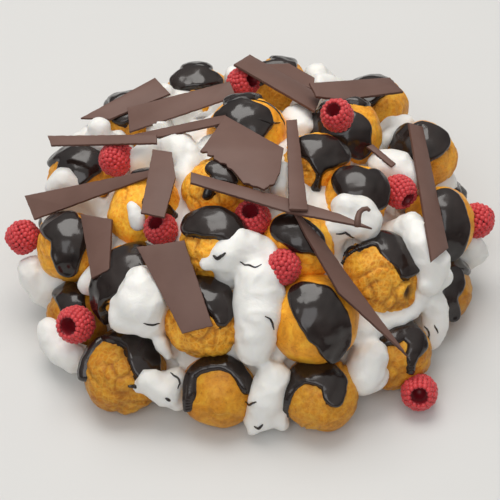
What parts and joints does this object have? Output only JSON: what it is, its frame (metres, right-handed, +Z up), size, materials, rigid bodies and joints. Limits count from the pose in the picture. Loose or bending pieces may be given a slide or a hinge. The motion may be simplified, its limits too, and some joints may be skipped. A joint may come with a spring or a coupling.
{
  "type": "profiterole cake",
  "caption": "Domed cake of chocolate-glazed choux buns bound with whipped cream, topped with raspberries and thin chocolate shards.",
  "frame": {"origin": "middle of the flat underside, on the surface that the cake stands on", "axes": "+Z up; the front faces -Y and +X is to the right seen from the front"},
  "size_m": [0.2786, 0.2647, 0.1132],
  "materials": {
    "choux": "baked choux crust, golden with browner crags, dry and faintly rough",
    "whipped_cream": "soft whipped cream, warm white, with small folds and torn edges",
    "raspberry": "fresh raspberry, crimson drupelets with a soft bloom",
    "chocolate": "dark chocolate: satin glaze on the buns, matte mauve-brown on the shards"
  },
  "bodies": {
    "root": {"base_01": "choux", "base_02": "choux", "base_03": "choux", "base_04": "choux", "base_05": "choux", "base_06": "choux", "base_07": "choux", "base_08": "choux", "base_09": "choux", "base_10": "choux", "base_11": "choux", "mid_01": "choux", "mid_02": "choux", "mid_03": "choux", "mid_04": "choux", "mid_05": "choux", "mid_06": "choux", "mid_07": "choux", "mid_08": "choux", "mid_09": "choux", "mid_10": "choux", "mid_11": "choux", "mid_12": "choux", "top_01": "choux", "top_02": "choux", "top_03": "choux", "top_04": "choux", "top_05": "choux", "top_06": "choux", "top_07": "choux", "top_08": "choux", "whipped_cream": "whipped_cream", "raspberry_01": "raspberry", "raspberry_02": "raspberry", "raspberry_03": "raspberry", "raspberry_04": "raspberry", "raspberry_05": "raspberry", "raspberry_06": "raspberry", "raspberry_07": "raspberry", "raspberry_08": "raspberry", "raspberry_09": "raspberry", "raspberry_10": "raspberry", "raspberry_11": "raspberry", "raspberry_12": "raspberry", "shard_01": "chocolate", "shard_02": "chocolate", "shard_03": "chocolate", "shard_04": "chocolate", "shard_05": "chocolate", "shard_06": "chocolate", "shard_07": "chocolate", "shard_08": "chocolate", "shard_09": "chocolate", "shard_10": "chocolate", "shard_11": "chocolate", "shard_12": "chocolate", "shard_13": "chocolate", "shard_14": "chocolate", "shard_15": "chocolate", "shard_16": "chocolate"}
  },
  "joints": []
}
